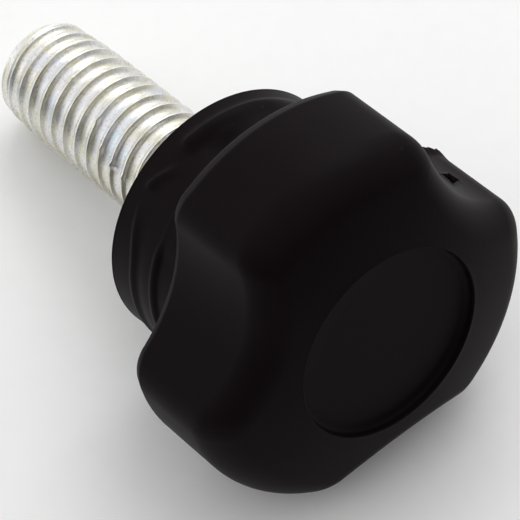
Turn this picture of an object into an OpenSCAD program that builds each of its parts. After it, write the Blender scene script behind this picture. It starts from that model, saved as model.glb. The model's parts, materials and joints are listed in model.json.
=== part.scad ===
// Thumb screw: a three-lobed plastic knob moulded round the anchored end of a threaded steel stud.
// It lies as it comes to rest, on the stud's tip and on two lobes, with the head towards +X.

/* [Stud] */
// Diameter over the thread's crests
stud_d = 5.9; // [5:0.1:7]
// Length of the stud that stands out of the collar, threaded all the way
stud_length = 16; // [10:1:40]
// Diameter of the plain shank between the rolled thread and the anchor
shank_d = 5.3; // [4.2:0.1:5.4]
// Length of the chamfer at the stud's free end
tip_chamfer = 1.2; // [0.3:0.1:1.5]
// Width across the flats of the hexagonal anchor inside the moulding
anchor_flats = 8; // [7.5:0.5:9]
// Depth of the anchor behind the collar's rear face
anchor_depth = 2.4; // [1:0.2:4]
// Length of the anchor
anchor_length = 7.2; // [5:0.2:8]
// Width of the groove round the anchor that keeps it from pulling out
anchor_groove_width = 1.6; // [0.8:0.2:3]

/* [Collar] */
// Diameter of the collar's rear flange
collar_d = 13.3; // [12.8:0.1:15]
// Thickness of the flange
flange_height = 1.2; // [0.6:0.05:1.6]
// Diameter of the band in front of the flange
band_d = 13.1; // [12.4:0.1:13.2]
// Distance from the rear face to the front edge of the band
band_end = 3.2; // [2.2:0.1:4]
// Diameter of the waist between the band and the head
waist_d = 12.6; // [11:0.1:12.8]
// Rounding of the flange's and the band's front edges
collar_edge = 0.2; // [0.1:0.05:0.4]
// Room round the thread in the shallow relief where the stud leaves the rear face
relief_gap = 0.3; // [0.1:0.05:0.6]
// Depth of that relief
relief_depth = 0.3; // [0.1:0.1:0.6]

/* [Head] */
// Diameter over the lobes
head_d = 19.1; // [18:0.1:26]
// Distance from the collar's rear face to the head's rear edge
head_start = 5.5; // [5:0.1:8]
// Distance from the collar's rear face to the rim of the front recess
head_front = 12.8; // [12:0.1:18]
// Radius of the front face's crown
crown_radius = 25; // [20:1:80]
// Depth of the three flutes
flute_depth = 2.2; // [1.5:0.1:2.4]
// Radius of the three flutes
flute_radius = 8; // [7:0.1:12]
// Rounding of the upright edges between flutes and lobes
corner_edge = 2; // [1.9:0.1:2.6]
// Rounding of the front edge along the lobes
lobe_edge = 1.6; // [0.8:0.1:1.8]
// Rounding of the front edge along the flutes
flute_edge = 1.4; // [0.5:0.1:1.8]
// Rounding of the head's rear edge
rear_edge = 0.3; // [0.1:0.05:0.6]

/* [Recess] */
// Diameter of the round recess in the front face
recess_d = 10; // [8:0.2:10.6]
// Depth of the recess at its rim
recess_depth = 0.5; // [0.2:0.1:1]

/* [Hidden] */
$fn = 96;
overlap = 0.2;
lobes = 3;
lobe_step = 360 / lobes;

// Segments in the arcs of the head's outline and edges
lobe_arc = 8;
corner_arc = 6;
flute_arc = 10;
rear_arc = 3;
front_arc = 6;
crown_rings = 3;

head_r = head_d / 2;
flute_distance = head_r - flute_depth + flute_radius;
corner_distance = head_r - corner_edge;
// Angle from the middle of a flute to the centre of the rounded edge beside it
corner_angle = acos((pow(flute_distance, 2) + pow(corner_distance, 2) - pow(flute_radius + corner_edge, 2))
    / (2 * flute_distance * corner_distance));
corner_x = corner_distance * cos(corner_angle);
corner_y = corner_distance * sin(corner_angle);
// Direction from that centre to the flute's axis
corner_turn = atan2(-corner_y, flute_distance - corner_x);
crown_drop = crown_radius - sqrt(pow(crown_radius, 2) - pow(recess_d / 2, 2));

anchor_end = anchor_depth + anchor_length;
anchor_r = anchor_flats / 2 / cos(30);
groove_start = anchor_depth + (anchor_length - anchor_groove_width) / 2;
groove_end = groove_start + anchor_groove_width;

// The two places on which the screw rests: the chamfer's edge at the tip, and the rear edge of the head
tip_z = tip_chamfer - stud_length;
tip_r = stud_d / 2 - tip_chamfer;
rest_r = corner_x + corner_edge - rear_edge;
rest_z = head_start + rear_edge;
rest_tilt = atan2(rest_r - stud_d / 2, rest_z - tip_z)
    + asin(rear_edge / norm([rest_r - stud_d / 2, rest_z - tip_z]));
rest_height = stud_d / 2 * cos(rest_tilt) - tip_z * sin(rest_tilt);

// Points on an arc about centre, without its last. The radius runs from one end's value to the other's,
// and the third coordinate likewise
function arc(centre, radii, angles, depths, steps) =
    [for (i = [0:steps - 1])
        let (share = i / steps, angle = lerp(angles, share), radius = lerp(radii, share))
        [centre.x + radius * cos(angle), centre.y + radius * sin(angle), lerp(depths, share)]];

function lerp(ends, share) = ends[0] + (ends[1] - ends[0]) * share;

function turned(points, angle) =
    [for (p = points) [p.x * cos(angle) - p.y * sin(angle), p.x * sin(angle) + p.y * cos(angle), p.z]];

// One flute, the edge beside it, the lobe after it and the edge beyond that. The outline is moved inwards by
// a share of the edge's rounding, and each point carries the rounding's radius
function flute_and_lobe(flute_round, lobe_round, inset_share) =
    let (
        flute_in = flute_round * inset_share,
        lobe_in = lobe_round * inset_share,
        rise = [corner_edge - flute_in, corner_edge - lobe_in],
        fall = [corner_edge - lobe_in, corner_edge - flute_in])
    concat(
        arc([flute_distance, 0], [1, 1] * (flute_radius + flute_in), [180 - corner_turn, 180 + corner_turn],
            [1, 1] * flute_round, flute_arc),
        arc([corner_x, corner_y], rise, [corner_turn, corner_angle], [flute_round, lobe_round], corner_arc),
        arc([0, 0], [1, 1] * (head_r - lobe_in), [corner_angle, lobe_step - corner_angle],
            [1, 1] * lobe_round, lobe_arc),
        turned(arc([corner_x, -corner_y], fall, [-corner_angle, -corner_turn], [lobe_round, flute_round],
            corner_arc), lobe_step));

function lobed_outline(flute_round, lobe_round, inset_share) =
    let (one = flute_and_lobe(flute_round, lobe_round, inset_share))
    [for (k = [0:lobes - 1]) each turned(one, k * lobe_step)];

// Height of the crowned front face at a distance from the axis
function crown(distance) =
    head_front + crown_drop - crown_radius + sqrt(pow(crown_radius, 2) - pow(distance, 2));

function rear_ring(angle) =
    [for (p = lobed_outline(rear_edge, rear_edge, 1 - sin(angle)))
        [p.x, p.y, head_start + p.z * (1 - cos(angle))]];

function front_ring(angle) =
    [for (p = lobed_outline(flute_edge, lobe_edge, 1 - cos(angle)))
        [p.x, p.y, crown(norm([p.x, p.y])) - p.z * (1 - sin(angle))]];

function crown_ring(share) =
    [for (p = lobed_outline(flute_edge, lobe_edge, 1))
        [p.x * share, p.y * share, crown(norm([p.x, p.y]) * share)]];

head_rings = concat(
    [[for (p = rear_ring(0)) [p.x / 2, p.y / 2, p.z]]],
    [for (i = [0:rear_arc]) rear_ring(90 * i / rear_arc)],
    [for (i = [0:front_arc]) front_ring(90 * i / front_arc)],
    [for (i = [crown_rings:-1:1]) crown_ring(i / (crown_rings + 1))]);
head_points = concat([for (ring = head_rings) each ring], [[0, 0, head_start], [0, 0, crown(0)]]);

// How far the resting screw reaches along X, with the collar's rear face at zero
reach_front = max([for (p = head_points) p.x * sin(rest_tilt) + p.z * cos(rest_tilt)]);
reach_back = -stud_length * cos(rest_tilt) - tip_r * sin(rest_tilt);

// Lays the screw, modelled along Z with one flute towards +X, down on that flute
module at_rest() {
    translate([-(reach_front + reach_back) / 2, 0, rest_height])
        rotate([0, 90 - rest_tilt, 0])
            children();
}

// The head's skin, lofted through its rings from the middle of the flat underside to the middle of the crown
module lobed_head() {
    side = len(head_rings[0]);
    last = (len(head_rings) - 1) * side;
    underside_middle = len(head_points) - 2;
    crown_middle = len(head_points) - 1;
    function next(i) = (i + 1) % side;
    underside = [for (i = [0:side - 1]) [underside_middle, i, next(i)]];
    walls = [for (k = [0:side:last - side], i = [0:side - 1])
        each [[k + i, k + side + i, k + next(i)], [k + next(i), k + side + i, k + side + next(i)]]];
    front = [for (i = [0:side - 1]) [last + i, crown_middle, last + next(i)]];
    polyhedron(head_points, concat(underside, walls, front));
}

// A disc's half section with its front outer edge rounded
module disc_section(radius, from, to, edge) {
    translate([0, from]) square([radius, to - from - edge]);
    translate([0, from]) square([radius - edge, to - from]);
    translate([radius - edge, to - edge]) circle(edge);
}

// Flange, band and waist, turned about the screw's axis
module collar() {
    rotate_extrude() {
        disc_section(collar_d / 2, 0, flange_height, collar_edge);
        disc_section(band_d / 2, 0, band_end, collar_edge);
        square([waist_d / 2, head_start + overlap]);
    }
}

// The stud's end inside the moulding: plain shank and grooved hexagon. The shank starts behind the rear face
// by start
module stud_anchor(start) {
    translate([0, 0, -start]) cylinder(h = anchor_end + start, d = shank_d);
    translate([0, 0, anchor_depth]) cylinder(h = groove_start - anchor_depth, r = anchor_r, $fn = 6);
    translate([0, 0, groove_end]) cylinder(h = anchor_end - groove_end, r = anchor_r, $fn = 6);
}

module knob() {
    color([0.05, 0.048, 0.05])
        at_rest()
            difference() {
                union() {
                    lobed_head();
                    collar();
                }
                translate([0, 0, head_front - recess_depth])
                    cylinder(h = recess_depth + crown_drop + overlap, d = recess_d);
                stud_anchor(overlap);
                translate([0, 0, -overlap]) cylinder(h = relief_depth + overlap, d = stud_d + 2 * relief_gap);
            }
}

module threaded_stud() {
    color([0.78, 0.78, 0.74])
        at_rest() {
            translate([0, 0, -stud_length]) cylinder(h = tip_chamfer, r1 = tip_r, r2 = stud_d / 2);
            translate([0, 0, tip_z]) cylinder(h = -tip_z, d = stud_d);
            stud_anchor(0);
        }
}

knob();
threaded_stud();
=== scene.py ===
import json
import math

import bmesh
import bpy
import numpy as np
from mathutils import Matrix, Quaternion, Vector, noise


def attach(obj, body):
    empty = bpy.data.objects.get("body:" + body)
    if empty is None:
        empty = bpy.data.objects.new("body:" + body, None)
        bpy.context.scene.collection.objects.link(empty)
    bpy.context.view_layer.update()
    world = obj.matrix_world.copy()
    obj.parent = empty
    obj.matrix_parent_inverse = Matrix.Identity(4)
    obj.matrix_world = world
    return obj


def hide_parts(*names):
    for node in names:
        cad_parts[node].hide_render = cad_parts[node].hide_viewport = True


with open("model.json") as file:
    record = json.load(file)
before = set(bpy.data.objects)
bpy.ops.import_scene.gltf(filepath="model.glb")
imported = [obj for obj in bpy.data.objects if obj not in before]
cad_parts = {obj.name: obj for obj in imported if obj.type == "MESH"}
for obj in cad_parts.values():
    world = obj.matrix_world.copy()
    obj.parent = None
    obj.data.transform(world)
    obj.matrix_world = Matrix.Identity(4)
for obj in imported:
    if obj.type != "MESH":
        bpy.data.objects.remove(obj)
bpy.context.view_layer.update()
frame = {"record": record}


# The stud: a steel rod, zinc plated and passivated, with a rolled right-hand M6 thread of thin crests over
# wide round grooves and a chamfered, slightly cupped end. A plain shank and a grooved hexagon at its other
# end are moulded into the knob. All its sizes are in millimetres along its own axis.
MM = 0.001
stud_mount = next(m for m in frame["record"]["mounts"] if m["name"] == "stud")
crest_radius = stud_mount["dims"]["r_mm"]
groove_depth = 0.37
root_radius = crest_radius - groove_depth
pitch = 1.0
thread_start = 0.556
# A crest is a thin ridge on a round groove. Half widths of the crest and of the seam along it are in pitches
crest_half = 0.07
crest_sharpness = 7.0
ridge_share = 0.5
seam_half, seam_depth = 0.04, 0.02
ripple_height, fray_height = 0.035, 0.02
# What the tip adds to these, where the crests were not rolled full, and where that begins and is complete
tip_crest_half, tip_seam_half, tip_crest_drop, tip_seam_depth = 0.11, 0.07, 0.15, 0.10
rolled_full, unrolled_length = -12.0, 0.9
chamfer_blend = 0.06
run_out_length = 0.3
tip_chamfer = 1.2
stud_length = stud_mount["dims"]["length_mm"] + tip_chamfer
tip_radius = crest_radius - tip_chamfer
cup_radius = 1.3
cup_depth = 0.22
shank_radius = 2.65
anchor_flats = 8.0
anchor_depth = 2.4
anchor_end = 9.6
anchor_groove = (5.2, 6.8)
steps_around = 176
steps_a_turn = 30
# Raised nicks on the crests: angle round the axis, distance along it, height
nicks = ((240, -5.28, 0.13), (243, -4.36, 0.08), (212, -7.44, 0.09), (233, -6.36, 0.06),
         (196, -10.5, 0.07))
nick_sharpness = 60

# The stud's axis as the screw lies, from its mount: the collar's rear face is at zero, the head beyond it
towards_head = -Vector(stud_mount["axis"])
collar_centre = Vector(stud_mount["pos_m"]) + towards_head * stud_mount["dims"]["length_mm"] * MM / 2
downwards = Vector((towards_head.z, 0, -towards_head.x))
sideways = towards_head.cross(downwards)
lying = (Matrix.Translation(collar_centre)
         @ Matrix((downwards, sideways, towards_head)).transposed().to_4x4()
         @ Matrix.Scale(MM, 4))


class Wire:
    """One socket of a node tree. Sums written with it become Math nodes in that tree."""

    def __init__(self, socket):
        self.socket = socket

    def node(self, kind, settings=None, inputs=None, output=0):
        """Adds a node to the tree, sets it up, feeds its sockets and gives one of its outputs."""
        tree = self.socket.id_data
        made = tree.nodes.new(kind)
        for name, value in (settings or {}).items():
            if name == "stops":
                ends = made.color_ramp.elements
                for place, colour in value[1:-1]:
                    ends.new(place).color = (*colour, 1)
                for end, (place, colour) in ((ends[0], value[0]), (ends[-1], value[-1])):
                    end.position = place
                    end.color = (*colour, 1)
            else:
                setattr(made, name, value)
        for key, value in (inputs or {}).items():
            if isinstance(value, Wire):
                tree.links.new(value.socket, made.inputs[key])
            else:
                made.inputs[key].default_value = value
        return Wire(made.outputs[output])

    def math(self, operation, *others):
        return self.node("ShaderNodeMath", {"operation": operation}, dict(enumerate((self, *others))))

    def __add__(self, other):
        return self.math("ADD", other)

    __radd__ = __add__

    def __mul__(self, other):
        return self.math("MULTIPLY", other)

    __rmul__ = __mul__

    def __sub__(self, other):
        return self.math("SUBTRACT", other)

    def __rsub__(self, other):
        return self * -1 + other

    def __truediv__(self, other):
        return self.math("DIVIDE", other)

    def __rtruediv__(self, other):
        return self.math("POWER", -1) * other


def bare_finish(name):
    """A new finish: the material, its shader and the place on the surface."""
    finish = bpy.data.materials.new(name)
    finish.use_nodes = True
    shader = finish.node_tree.nodes["Principled BSDF"]
    place = Wire(finish.node_tree.nodes.new("ShaderNodeTexCoord").outputs["Object"])
    return finish, shader, place


def connect(shader, **sockets):
    for name, wire in sockets.items():
        shader.id_data.links.new(wire.socket, shader.inputs[name.replace("_", " ")])


def set_sockets(shader, **sockets):
    for name, value in sockets.items():
        shader.inputs[name.replace("_", " ")].default_value = value


zinc, zinc_shader, place = bare_finish("zinc_plated_steel")
groove = place.node("ShaderNodeAttribute", {"attribute_name": "groove"}, output="Fac")
patches = place.node("ShaderNodeTexNoise", {}, {"Vector": place, "Scale": 330, "Detail": 3})
speckle = place.node("ShaderNodeTexNoise", {}, {"Vector": place, "Scale": 9000, "Detail": 2})
# Fine lines along the thread: a pattern drawn out round the stud's axis
round_axis = place.node("ShaderNodeMapping", {"vector_type": "TEXTURE"}, {
    "Vector": place, "Rotation": (0, -math.atan2(towards_head.z, towards_head.x), 0),
    "Scale": (0.11 * MM, 1.5 * MM, 1.5 * MM)})
streaks = round_axis.node("ShaderNodeTexNoise", {}, {"Vector": round_axis, "Scale": 1.0, "Detail": 3})
# How much patches, grooves and streaks count in the thickness of the passivation's film
patch_weight, groove_weight, streak_weight, film_drop = 1.3, 0.2, 0.5, 0.5
film = patches * patch_weight + groove * groove_weight + streaks * streak_weight - film_drop
tint = film.node("ShaderNodeValToRGB", {"stops": (
    (0.00, (0.84, 0.84, 0.82)),
    (0.34, (0.86, 0.86, 0.84)),
    (0.44, (0.80, 0.78, 0.67)),
    (0.52, (0.76, 0.74, 0.62)),
    (0.60, (0.86, 0.85, 0.82)),
    (0.70, (0.82, 0.81, 0.84)),
    (0.80, (0.72, 0.81, 0.87)),
    (1.00, (0.86, 0.86, 0.85)))}, {"Fac": film})
dull = speckle.node("ShaderNodeMapRange", {}, {
    "Value": speckle, "From Min": 0.52, "From Max": 0.75, "To Max": 0.6})
zinc_colour = tint.node("ShaderNodeMix", {"data_type": "RGBA"},
                        {"Factor": dull, "A": tint, "B": (0.42, 0.41, 0.36, 1)}, output=2)
zinc_relief = speckle.node("ShaderNodeBump", {}, {"Height": speckle * 0.5 + streaks * 1.5, "Strength": 0.7,
                                                  "Distance": 0.018 * MM})
connect(zinc_shader, Base_Color=zinc_colour, Roughness=0.28 + streaks * 0.16, Normal=zinc_relief)
set_sockets(zinc_shader, Metallic=1.0)

thread_tree = bpy.data.node_groups.new("rolled_thread", "GeometryNodeTree")
thread_tree.interface.new_socket("Thread", in_out="OUTPUT", socket_type="NodeSocketGeometry")
thread_sizes = {"Crest Radius": crest_radius, "Root Radius": root_radius, "Pitch": pitch,
                "Length": stud_length, "Start": thread_start, "Tip Radius": tip_radius,
                "Tip Chamfer": tip_chamfer, "Shank Radius": shank_radius}
thread_inputs = {name: thread_tree.interface.new_socket(name, in_out="INPUT", socket_type="NodeSocketFloat")
                 for name in thread_sizes}
plating_input = thread_tree.interface.new_socket("Plating", in_out="INPUT", socket_type="NodeSocketMaterial")
group_input = thread_tree.nodes.new("NodeGroupInput")
size = {name: Wire(group_input.outputs[name]) for name in thread_sizes}

turns = round(stud_length / pitch) + 1
blank = size["Length"].node("GeometryNodeMeshGrid", {}, {"Vertices X": turns * steps_a_turn + 1,
                                                         "Vertices Y": steps_around + 1})
across = Wire(blank.socket.node.outputs["UV Map"])
share_along = across.node("ShaderNodeSeparateXYZ", {}, {0: across}, output="X")
share_around = across.node("ShaderNodeSeparateXYZ", {}, {0: across}, output="Y")
# The blank's rows follow the helix for one turn more than the stud has, and stop at the stud's two ends
depth = (share_along - 1) * (size["Length"] + size["Pitch"]) + share_around * size["Pitch"]
depth = depth.math("MAXIMUM", size["Length"] * -1).math("MINIMUM", 0)
angle = share_around * math.tau
on_rod = angle.node("ShaderNodeCombineXYZ", {}, {"X": angle.math("COSINE") * size["Crest Radius"],
                                                 "Y": angle.math("SINE") * size["Crest Radius"], "Z": depth})
# Height of the profile: 1 over the crest, steep beside it, and 0 in the wide round root
turn = (depth / size["Pitch"] - share_around + size["Start"]).math("FRACT")
from_crest = (turn - 0.5).math("ABSOLUTE")
# Towards the tip the crests were not rolled full: they are low and wide, with an open seam between two lips
unrolled = depth.node("ShaderNodeMapRange", {"interpolation_type": "SMOOTHSTEP"}, {
    "Value": depth, "From Min": -stud_length + unrolled_length, "From Max": rolled_full,
    "To Min": 1.0, "To Max": 0.0})
flat = unrolled * tip_crest_half + crest_half
flank = (1 - (from_crest - flat) / (0.5 - flat)).math("MINIMUM", 1)
profile = flank.math("POWER", crest_sharpness) * ridge_share + flank * flank * (1 - ridge_share)
ripple = on_rod.node("ShaderNodeTexNoise", {}, {"Vector": on_rod, "Scale": 1.6, "Detail": 4})
fray = on_rod.node("ShaderNodeTexNoise", {}, {"Vector": on_rod, "Scale": 7.0, "Detail": 2})
across_seam = from_crest / (unrolled * tip_seam_half + seam_half)
seam = (across_seam * across_seam * -1).math("EXPONENT")
radius = size["Root Radius"] + (size["Crest Radius"] - size["Root Radius"]) * profile
radius = (radius - (ripple * ripple_height + fray * fray_height + unrolled * tip_crest_drop) * profile
          - seam * (unrolled * tip_seam_depth + seam_depth))
for nick_angle, nick_depth, nick_height in nicks:
    nick_turn = math.radians(nick_angle)
    nick = (crest_radius * math.cos(nick_turn), crest_radius * math.sin(nick_turn), nick_depth)
    away = on_rod.node("ShaderNodeVectorMath", {"operation": "DISTANCE"}, {0: on_rod, 1: nick},
                       output="Value")
    radius = radius + (away * away * -nick_sharpness).math("EXPONENT") * nick_height
cone = (size["Tip Radius"] + (depth + size["Length"]) * (size["Crest Radius"] - size["Tip Radius"])
        / size["Tip Chamfer"])
radius = radius.math("SMOOTH_MIN", cone, chamfer_blend)
# The film is thicker and bluer in the last groove, where the collar kept it from being wiped
film_thickens, film_thickest = -2.0, -0.6
at_collar = depth.node("ShaderNodeMapRange", {"interpolation_type": "SMOOTHSTEP"},
                       {"Value": depth, "From Min": film_thickens, "From Max": film_thickest})
# The last turn runs out into the plain shank
run_out = depth.node("ShaderNodeMapRange", {"interpolation_type": "SMOOTHSTEP"},
                     {"Value": depth, "From Min": -run_out_length, "From Max": 0.0})
radius = radius + (size["Shank Radius"] - radius) * run_out
on_thread = radius.node("ShaderNodeCombineXYZ", {}, {"X": angle.math("COSINE") * radius,
                                                     "Y": angle.math("SINE") * radius, "Z": depth})
rolled = blank.node("GeometryNodeSetPosition", {}, {"Geometry": blank, "Position": on_thread})
rolled = rolled.node("GeometryNodeStoreNamedAttribute", {"data_type": "FLOAT", "domain": "POINT"},
                     {"Geometry": rolled, "Name": "groove", "Value": (1 - profile) * (1 + at_collar)})
rolled = rolled.node("GeometryNodeMergeByDistance", {}, {"Geometry": rolled, "Distance": 0.0005})
rolled = rolled.node("GeometryNodeRealizeInstances", {}, {"Geometry": rolled})
rolled = rolled.node("GeometryNodeSetMaterial", {}, {"Geometry": rolled,
                                                     "Material": Wire(group_input.outputs["Plating"])})
group_output = thread_tree.nodes.new("NodeGroupOutput")
thread_tree.links.new(rolled.socket, group_output.inputs["Thread"])

rod = bpy.data.objects.new("rod", bpy.data.meshes.new("rod"))
bpy.context.scene.collection.objects.link(rod)
rolling = rod.modifiers.new("rolled_thread", "NODES")
rolling.node_group = thread_tree
for name, value in thread_sizes.items():
    rolling[thread_inputs[name].identifier] = value
rolling[plating_input.identifier] = zinc
view_graph = bpy.context.evaluated_depsgraph_get()
stud_mesh = bpy.data.meshes.new_from_object(rod.evaluated_get(view_graph))
bpy.data.objects.remove(rod)


def hexagon(angle):
    return anchor_flats / 2 / math.cos(angle % (math.pi / 3) - math.pi / 6)


def carry_on(shell, rim, radius, depth):
    """Carries an open rim on to a ring of that radius and depth, and gives the new open rim."""
    grown = bmesh.ops.extrude_edge_only(shell, edges=rim)["geom"]
    for vert in (g for g in grown if isinstance(g, bmesh.types.BMVert)):
        angle = math.atan2(vert.co.y, vert.co.x)
        reach = radius(angle) if callable(radius) else radius
        vert.co = (reach * math.cos(angle), reach * math.sin(angle), depth)
    return [g for g in grown if isinstance(g, bmesh.types.BMEdge) and g.is_boundary]


def close_mesh(shell, mesh, crease_angle):
    """Merges doubles, turns the faces outwards, lays the mesh where the screw lies and smooths it."""
    bmesh.ops.remove_doubles(shell, verts=shell.verts, dist=1e-5)
    bmesh.ops.recalc_face_normals(shell, faces=shell.faces)
    for face in shell.faces:
        face.smooth = True
    shell.to_mesh(mesh)
    shell.free()
    mesh.transform(lying)
    mesh.set_sharp_from_angle(angle=math.radians(crease_angle))
    mesh.update()


shell = bmesh.new()
shell.from_mesh(stud_mesh)
open_edges = [e for e in shell.edges if e.is_boundary]
rim = [e for e in open_edges if e.verts[0].co.z < -stud_length / 2]
cup_rings = ((cup_radius, -stud_length), (cup_radius * 0.7, -stud_length + cup_depth * 0.7),
             (cup_radius * 0.3, -stud_length + cup_depth))
for ring_radius, ring_depth in cup_rings:
    rim = carry_on(shell, rim, ring_radius, ring_depth)
bmesh.ops.edgeloop_fill(shell, edges=rim)
rim = [e for e in open_edges if e.verts[0].co.z > -stud_length / 2]
anchor_rings = ((shank_radius, anchor_depth), (hexagon, anchor_depth), (hexagon, anchor_groove[0]),
                (shank_radius, anchor_groove[0]), (shank_radius, anchor_groove[1]),
                (hexagon, anchor_groove[1]), (hexagon, anchor_end))
for ring_radius, ring_depth in anchor_rings:
    rim = carry_on(shell, rim, ring_radius, ring_depth)
bmesh.ops.edgeloop_fill(shell, edges=rim)
close_mesh(shell, stud_mesh, crease_angle=50)
stud = bpy.data.objects.new("stud", stud_mesh)
bpy.context.scene.collection.objects.link(stud)
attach(stud, "root")
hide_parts("threaded_stud")


# The knob: one moulding of black plastic, shot round the anchored end of the stud. The head's three lobes are
# lofted and the collar is turned, with a ridge left where the mould's halves met, wandering round the flange.
# A sprue torn off in one flute left a ragged nib on the rear edge and a pit.
band_radius, band_end = 6.6, 3.2
band_wall = band_radius - 0.02
rear_rounding = 0.1
waist_radius = 6.44
waist_fillet = 0.25
waist_step = 0.25
# The lip round the band's front edge: height, what it loses on the upper side, and half width
lip_height, lip_loss, lip_width = 0.05, 0.035, 0.12
# The collar's upper side, where the waist is as wide as the band: its middle, half width and fade in degrees,
# and how far the band's front edge moves there
upper_middle, upper_half, upper_fade = 170, 69, 9
edge_shift = 0.1
# Ridges left on the flange, one after another round it: first and last angle in degrees, distance from the
# rear face at the first, and what it comes to over so many degrees, then half width and height
ridges = ((128, 196, 1.48, 1.20, 68, 0.34, 0.29), (200, 219, 1.76, 0.98, 18, 0.19, 0.14),
          (221, 480, 1.04, 1.66, 30, 0.14, 0.08))
ridge_fade = 4
# Hollows in the band: angle, distance from the rear face, half width in degrees, half length, depth
hollows = ((184, 2.90, 15, 1.10, 0.48), (189, 1.80, 8, 0.40, 0.14), (178, 2.05, 4, 0.25, -0.07),
           (262, 2.05, 26, 0.35, 0.05))
relief_radius, relief_depth, relief_edge = crest_radius + 0.3, 0.3, 0.06
head_radius = 9.55
head_start, head_front = 5.22, 12.8
crown_radius = 25.0
flute_depth, flute_radius = 2.2, 8.0
corner_edge, lobe_edge, flute_edge = 2.0, 1.6, 1.4
# The bevel of the head's rear edge on a lobe: how far in from the outline, and how far before the rear face.
# In a flute it is smaller by a factor, and the rear face lies further back by the set-back
rear_bevel = ((0.38, 0.0), (0.30, 0.02), (0.25, 0.09), (0.18, 0.24), (0.11, 0.39), (0.04, 0.54),
              (0.01, 0.62), (0.0, 0.70))
flute_bevel = 0.6
flute_set_back = 0.10
recess_radius, recess_depth, recess_edge, recess_fillet = 5.0, 0.5, 0.09, 0.28
# Steps round the three flutes, of which the one with the sprue mark needs the most, and round the rest
flute_steps, corner_steps, lobe_steps = (26, 120, 26), 16, 28
wall_steps = 56
flute_distance = head_radius - flute_depth + flute_radius
corner_distance = head_radius - corner_edge
corner_angle = math.acos((flute_distance ** 2 + corner_distance ** 2 - (flute_radius + corner_edge) ** 2)
                         / (2 * flute_distance * corner_distance))
corner_x = corner_distance * math.cos(corner_angle)
corner_y = corner_distance * math.sin(corner_angle)
corner_turn = math.atan2(-corner_y, flute_distance - corner_x)
crown_drop = crown_radius - math.sqrt(crown_radius ** 2 - recess_radius ** 2)
third = math.tau / 3


def arc(centre, radii, angles, shares, steps):
    """Points on an arc, without its last. The radius and the third column run between their two values."""
    share = np.arange(steps) / steps
    radius, angle, third_column = (a + (b - a) * share for a, b in (radii, angles, shares))
    return np.stack([centre[0] + radius * np.cos(angle), centre[1] + radius * np.sin(angle), third_column], 1)


def turned(points, angle):
    x, y, kept = points.T
    return np.stack([x * math.cos(angle) - y * math.sin(angle),
                     x * math.sin(angle) + y * math.cos(angle), kept], 1)


def lobed_outline(flute_in, lobe_in):
    """The head's outline moved inwards; the third column is 0 in a flute and 1 on a lobe."""
    parts = []
    for k, steps in enumerate(flute_steps):
        parts += [turned(part, k * third) for part in (
            arc((flute_distance, 0), [flute_radius + flute_in] * 2,
                (math.pi - corner_turn, math.pi + corner_turn), (0, 0), steps),
            arc((corner_x, corner_y), (corner_edge - flute_in, corner_edge - lobe_in),
                (corner_turn, corner_angle), (0, 1), corner_steps),
            arc((0, 0), [head_radius - lobe_in] * 2,
                (corner_angle, third - corner_angle), (1, 1), lobe_steps),
            turned(arc((corner_x, -corner_y), (corner_edge - lobe_in, corner_edge - flute_in),
                       (-corner_angle, -corner_turn), (1, 0), corner_steps), third))]
    return np.concatenate(parts)


def crown(distance):
    return head_front + crown_drop - crown_radius + np.sqrt(crown_radius ** 2 - distance ** 2)


def rear_ring(inset, rise):
    points = lobed_outline(inset * flute_bevel, inset)
    on_lobe = points[:, 2]
    points[:, 2] = head_start + rise * (flute_bevel + (1 - flute_bevel) * on_lobe) + flute_set_back * on_lobe
    return points


def front_ring(angle):
    points = lobed_outline(flute_edge * (1 - math.cos(angle)), lobe_edge * (1 - math.cos(angle)))
    rounding = flute_edge + (lobe_edge - flute_edge) * points[:, 2]
    points[:, 2] = crown(np.hypot(points[:, 0], points[:, 1])) - rounding * (1 - math.sin(angle))
    return points


bearing = np.arctan2(*lobed_outline(0, 0)[:, 1::-1].T)


def round_ring(radius, depth):
    reach = radius(bearing) if callable(radius) else radius + 0 * bearing
    return np.stack([reach * np.cos(bearing), reach * np.sin(bearing), depth + 0 * bearing], 1)


def between(first, last, shares):
    return [first + (last - first) * share for share in shares]


def quarter(steps):
    return [math.pi / 2 * i / steps for i in range(steps + 1)]


def hexagon_reach(angles):
    return np.array([hexagon(angle) for angle in angles])


def smooth_step(value):
    value = np.clip(value, 0, 1)
    return value * value * (3 - 2 * value)


turned_to = np.degrees(bearing) % 360
# The step from the band down to the waist dies out on the upper side, towards the lobe at 180 degrees
upper_side = smooth_step((upper_half - np.abs(turned_to - upper_middle)) / upper_fade)
edge_at = band_end + edge_shift + edge_shift * upper_side
waist_reach = waist_radius + (band_wall - waist_radius) * upper_side


def collar_ring(depth):
    """One ring of the collar: ridges on the flange, hollows in the band, its lip, and the waist."""
    reach = band_wall + 0 * bearing
    for first, last, place, shifted, over, width, height in ridges:
        passed = (turned_to - first) % 360
        ends = smooth_step(passed / over * 2) * smooth_step((last - first - passed) / ridge_fade)
        off = (depth - place - (shifted - place) * smooth_step(passed / over)) / width
        # A ridge's front side is twice as wide as its rear side
        off = np.where(off > 0, off / 2, off)
        reach += height * ends * np.exp(-off ** 2)
    for angle, place, wide, long, deep in hollows:
        reach -= deep * np.exp(-((turned_to - angle) / wide) ** 2 - ((depth - place) / long) ** 2)
    reach += (lip_height - lip_loss * upper_side) * np.exp(-((depth - edge_at + lip_width) / lip_width) ** 2)
    reach += (waist_reach - reach) * smooth_step((depth - edge_at) / waist_step)
    return round_ring(lambda b: reach, depth)


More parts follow.
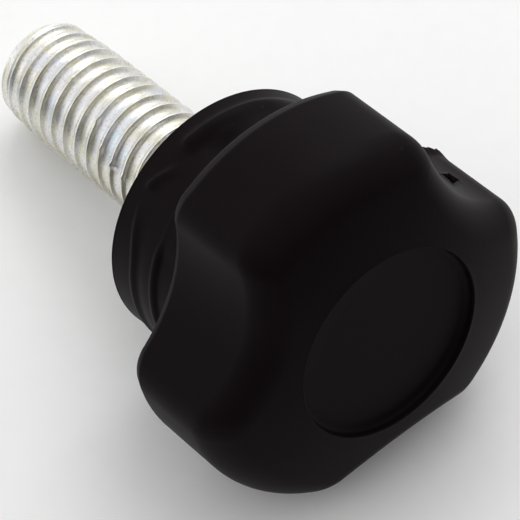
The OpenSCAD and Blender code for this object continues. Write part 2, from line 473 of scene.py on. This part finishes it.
# The skin's rings, from the closed end of the anchor's cavity, over the collar and the head, to the recess
skin = [round_ring(hexagon_reach, anchor_end), round_ring(hexagon_reach, anchor_groove[1]),
        round_ring(shank_radius, anchor_groove[1]), round_ring(shank_radius, anchor_groove[0]),
        round_ring(hexagon_reach, anchor_groove[0]), round_ring(hexagon_reach, anchor_depth),
        round_ring(shank_radius, anchor_depth), round_ring(shank_radius, relief_depth),
        round_ring(relief_radius, relief_depth), round_ring(relief_radius, relief_edge),
        round_ring(relief_radius + relief_edge, 0)]
rear_face_radii = (4.0, 5.0, 6.0)
skin += [round_ring(r, 0) for r in rear_face_radii]
skin += [round_ring(band_radius - rear_rounding * (1 - math.sin(a)), rear_rounding * (1 - math.cos(a)))
         for a in quarter(4)]
skin += [collar_ring(z) for z in np.arange(0.14, 4.2, 0.06)]
skin += [collar_ring(z) for z in (4.4, 4.7)]
skin += [round_ring(lambda b: waist_reach + waist_fillet * (1 - math.cos(a)),
                    head_start - waist_fillet * (1 - math.sin(a))) for a in quarter(4)]
skin += between(skin[-1], rear_ring(*rear_bevel[0]), (0.2, 0.4, 0.6, 0.8))
skin += [rear_ring(inset, rise) for inset, rise in rear_bevel]
skin += between(skin[-1], front_ring(0), np.arange(1, wall_steps) / wall_steps)
skin += [front_ring(a) for a in quarter(16)]
rim_ring = round_ring(recess_radius + recess_edge, 0)
for ring in between(front_ring(math.pi / 2), rim_ring, np.arange(1, 11) / 10):
    ring[:, 2] = crown(np.hypot(ring[:, 0], ring[:, 1]))
    skin.append(ring)
skin += [round_ring(recess_radius + recess_edge * (1 - math.sin(a)),
                    head_front - recess_edge * (1 - math.cos(a))) for a in quarter(4)[1:]]
recess_floor = head_front - recess_depth
skin += [round_ring(recess_radius - recess_fillet * (1 - math.cos(a)),
                    recess_floor + recess_fillet * (1 - math.sin(a))) for a in quarter(6)]
recess_floor_radii = (3.6, 2.0, 0.7)
skin += [round_ring(r, recess_floor) for r in recess_floor_radii]
skin = np.array(skin)

# The sprue's marks in the flute, by angle and depth: a pit with a raised lip, and a ragged nib on the edge
pit_corners = np.array([(107.3, 9.00), (101.5, 8.50), (101.8, 7.92), (105.4, 8.06)])
pit_depth = 0.8
nib_angles = (88.5, 105.0)
nib_height = 0.40
# Length of one degree round the flute's wall
degree_length = 0.155
marks_front, marks_inner, marks_angles = 10.5, 7.0, (85, 120)
coarse_tear, fine_tear, fine_share = 2.6, 6.1, 0.6
skin_angle = np.degrees(np.arctan2(skin[..., 1], skin[..., 0])) % 360
ragged = np.zeros(skin_angle.shape)
near_marks = ((skin[..., 2] > head_start - 0.01) & (skin[..., 2] < marks_front)
              & (skin_angle > marks_angles[0]) & (skin_angle < marks_angles[1])
              & (np.hypot(skin[..., 0], skin[..., 1]) > marks_inner))
for index in zip(*np.nonzero(near_marks)):
    ragged[index] = (noise.noise(Vector(skin[index]) * coarse_tear)
                     + fine_share * noise.noise(Vector(skin[index]) * fine_tear))
# Out of the flute's wall is towards the flute's own axis
outwards = flute_distance * np.array([math.cos(third), math.sin(third)]) - skin[..., :2]
outwards /= np.linalg.norm(outwards, axis=-1, keepdims=True)
pit_points = pit_corners * (degree_length, 1)
inside_pit = np.full(skin_angle.shape, np.inf)
for a, b in zip(pit_points, np.roll(pit_points, -1, 0)):
    edge = (b - a) / np.linalg.norm(b - a)
    inside_pit = np.minimum(inside_pit, (skin[..., 2] - a[1]) * edge[0]
                            - (skin_angle * degree_length - a[0]) * edge[1])
inside_pit = np.where(near_marks, inside_pit + 0.05 * ragged, -9)
pit = np.clip((inside_pit + 0.03) / 0.13, 0, 1)
lip = np.exp(-((inside_pit + 0.1) / 0.07) ** 2)
nib = 0.5 * (np.tanh((skin_angle - nib_angles[0]) / 0.7) - np.tanh((skin_angle - nib_angles[1]) / 0.7))
nib = np.where(near_marks, nib * np.exp(-((skin[..., 2] - head_start - 0.2) / 0.3) ** 2), 0)
# The nib is highest at the end where the sprue tore off last
slant = np.clip((nib_angles[1] - skin_angle) / (nib_angles[1] - nib_angles[0]), 0, 1)
rise = nib * nib_height * (0.05 + 0.85 * slant + 0.25 * ragged) + 0.05 * lip - pit_depth * pit
skin[..., :2] += outwards * rise[..., None]
skin[..., 2] -= nib * (0.1 + 0.16 * ragged)
torn = np.clip(nib * 1.3, 0, 1)
# Mask for painted shade: the pit gets a near-black colour below, darker than the plastic, standing in for the
# shade that falls inside it
pitted = np.clip(pit * 1.5, 0, 1)

rows, columns = skin.shape[:2]
knob_points = np.concatenate([skin.reshape(-1, 3), [(0, 0, anchor_end), (0, 0, recess_floor)]])
knob_faces = []
for row in range(rows - 1):
    for column in range(columns):
        after = (column + 1) % columns
        knob_faces.append((row * columns + column, row * columns + after,
                           (row + 1) * columns + after, (row + 1) * columns + column))
for row, middle in ((0, rows * columns), (rows - 1, rows * columns + 1)):
    knob_faces += [(row * columns + column, row * columns + (column + 1) % columns, middle)
                   for column in range(columns)]
knob_mesh = bpy.data.meshes.new("knob_skin")
knob_mesh.from_pydata(knob_points.tolist(), [], knob_faces)
for layer_name, layer in (("torn", torn), ("pitted", pitted)):
    values = knob_mesh.attributes.new(layer_name, "FLOAT", "POINT").data
    values.foreach_set("value", np.append(layer.ravel(), (0, 0)).astype(np.float32))
shell = bmesh.new()
shell.from_mesh(knob_mesh)
close_mesh(shell, knob_mesh, crease_angle=40)

plastic, plastic_shader, place = bare_finish("black_plastic")
torn_here = place.node("ShaderNodeAttribute", {"attribute_name": "torn"}, output="Fac")
pit_shade_here = place.node("ShaderNodeAttribute", {"attribute_name": "pitted"}, output="Fac")
clouds = place.node("ShaderNodeTexNoise", {}, {"Vector": place, "Scale": 260, "Detail": 4})
grain = place.node("ShaderNodeTexNoise", {}, {"Vector": place, "Scale": 9000, "Detail": 3})
spark = place.node("ShaderNodeTexNoise", {}, {"Vector": place, "Scale": 4200, "Detail": 2})
flecks = place.node("ShaderNodeTexVoronoi", {}, {"Vector": place, "Scale": 420})
dust = 1 - (flecks / 0.05).math("MINIMUM", 1)
black = clouds.node("ShaderNodeMix", {"data_type": "RGBA"}, {
    "Factor": clouds, "A": (0.0046, 0.0027, 0.0033, 1), "B": (0.0074, 0.0047, 0.0056, 1)}, output=2)
black = black.node("ShaderNodeMix", {"data_type": "RGBA"},
                   {"Factor": dust * 0.12, "A": black, "B": (0.09, 0.08, 0.075, 1)}, output=2)
black = black.node("ShaderNodeMix", {"data_type": "RGBA"},
                   {"Factor": torn_here * spark, "A": black, "B": (0.020, 0.012, 0.010, 1)}, output=2)
# Painted shade: inside the pit the plastic is coloured near-black for the shade that falls there
black = black.node("ShaderNodeMix", {"data_type": "RGBA"},
                   {"Factor": pit_shade_here, "A": black, "B": (0.0008, 0.0005, 0.0005, 1)}, output=2)
plastic_relief = grain.node("ShaderNodeBump", {}, {"Height": grain + spark * 0.8, "Strength": 0.4,
                                                   "Distance": 0.014 * MM})
connect(plastic_shader, Base_Color=black, Roughness=0.40 + clouds * 0.12 + torn_here * 0.3,
        Normal=plastic_relief)
set_sockets(plastic_shader, IOR=1.11)
knob_mesh.materials.append(plastic)
knob = bpy.data.objects.new("moulded_knob", knob_mesh)
bpy.context.scene.collection.objects.link(knob)
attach(knob, "root")
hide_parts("knob")


# The table under the screw: a sheet of matt white card with a faint pattern of fibres, far wider than the
# picture. It lies flat at floor height and belongs to the stage.
card_half = 1.2
card_finish, card_shader, place = bare_finish("white_card")
fibres = place.node("ShaderNodeTexNoise", {}, {"Vector": place, "Scale": 900, "Detail": 2})
card_white = fibres.node("ShaderNodeMix", {"data_type": "RGBA"},
                         {"Factor": fibres, "A": (0.93, 0.93, 0.93, 1), "B": (0.96, 0.96, 0.96, 1)}, output=2)
connect(card_shader, Base_Color=card_white)
set_sockets(card_shader, Roughness=1.0, IOR=1.05)
card_mesh = bpy.data.meshes.new("card")
card_corners = ((-1, -1), (1, -1), (1, 1), (-1, 1))
card_mesh.from_pydata([(x * card_half, y * card_half, 0) for x, y in card_corners], [], [(0, 1, 2, 3)])
card_mesh.materials.append(card_finish)
card = bpy.data.objects.new("card", card_mesh)
bpy.context.scene.collection.objects.link(card)


# Studio light: a white tent that is brightest above the stud's end, a soft lamp above the far side of the
# screw and a weak panel on the near left.
world = bpy.data.worlds.new("white_tent")
bpy.context.scene.world = world
world.use_nodes = True
tent = world.node_tree.nodes["Background"]
towards = Wire(world.node_tree.nodes.new("ShaderNodeTexCoord").outputs["Generated"])
brightest_towards = (-0.68, 0.28, 0.68)
tent_darkest, tent_brightest = 0.06, 0.98
bright_side = towards.node("ShaderNodeVectorMath", {"operation": "DOT_PRODUCT"},
                           {0: towards, 1: brightest_towards}, output="Value")
tent_glow = bright_side.node("ShaderNodeMapRange", {"interpolation_type": "SMOOTHSTEP"}, {
    "Value": bright_side, "From Min": -0.55, "From Max": 0.65,
    "To Min": tent_darkest, "To Max": tent_brightest})
world.node_tree.links.new(tent_glow.socket, tent.inputs["Strength"])
tent.inputs["Color"].default_value = (1, 1, 1, 1)


def soft_lamp(name, place, aim, width, power):
    lamp = bpy.data.lights.new(name, "AREA")
    lamp.shape = "SQUARE"
    lamp.size = width
    lamp.energy = power
    hung = bpy.data.objects.new(name, lamp)
    hung.location = place
    hung.rotation_mode = "QUATERNION"
    hung.rotation_quaternion = (Vector(place) - Vector(aim)).to_track_quat("Z", "Y")
    bpy.context.scene.collection.objects.link(hung)


lamp_aim = (0.0, 0.0, 0.006)
soft_lamp("far_lamp", (-0.130, 0.180, 0.240), lamp_aim, width=0.18, power=0.30)
soft_lamp("left_panel", (-0.245, -0.230, 0.090), lamp_aim, width=0.22, power=0.06)

# The camera, as the photograph was taken: a long lens, above the head's side of the screw. Its place comes
# from a fit to the edges of the stud, the collar and the recess.
view_azimuth, view_elevation, view_roll = (math.radians(d) for d in (52.708, 56.966, -2.362))
view_distance = 0.16266
view_aim = Vector((4.178, -0.195, 6.0)) * MM
lens, film_width = 235.38, 36.0
back = Vector((math.sin(view_azimuth) * math.cos(view_elevation),
               -math.cos(view_azimuth) * math.cos(view_elevation), math.sin(view_elevation)))
camera_data = bpy.data.cameras.new("camera")
camera_data.lens = lens
camera_data.sensor_width = film_width
camera_data.clip_start = 0.001
camera = bpy.data.objects.new("camera", camera_data)
camera.location = view_aim + back * view_distance
camera.rotation_mode = "QUATERNION"
camera.rotation_quaternion = back.to_track_quat("Z", "Y") @ Quaternion((0, 0, 1), view_roll)
bpy.context.scene.collection.objects.link(camera)
bpy.context.scene.camera = camera
bpy.context.scene.view_settings.view_transform = "Standard"
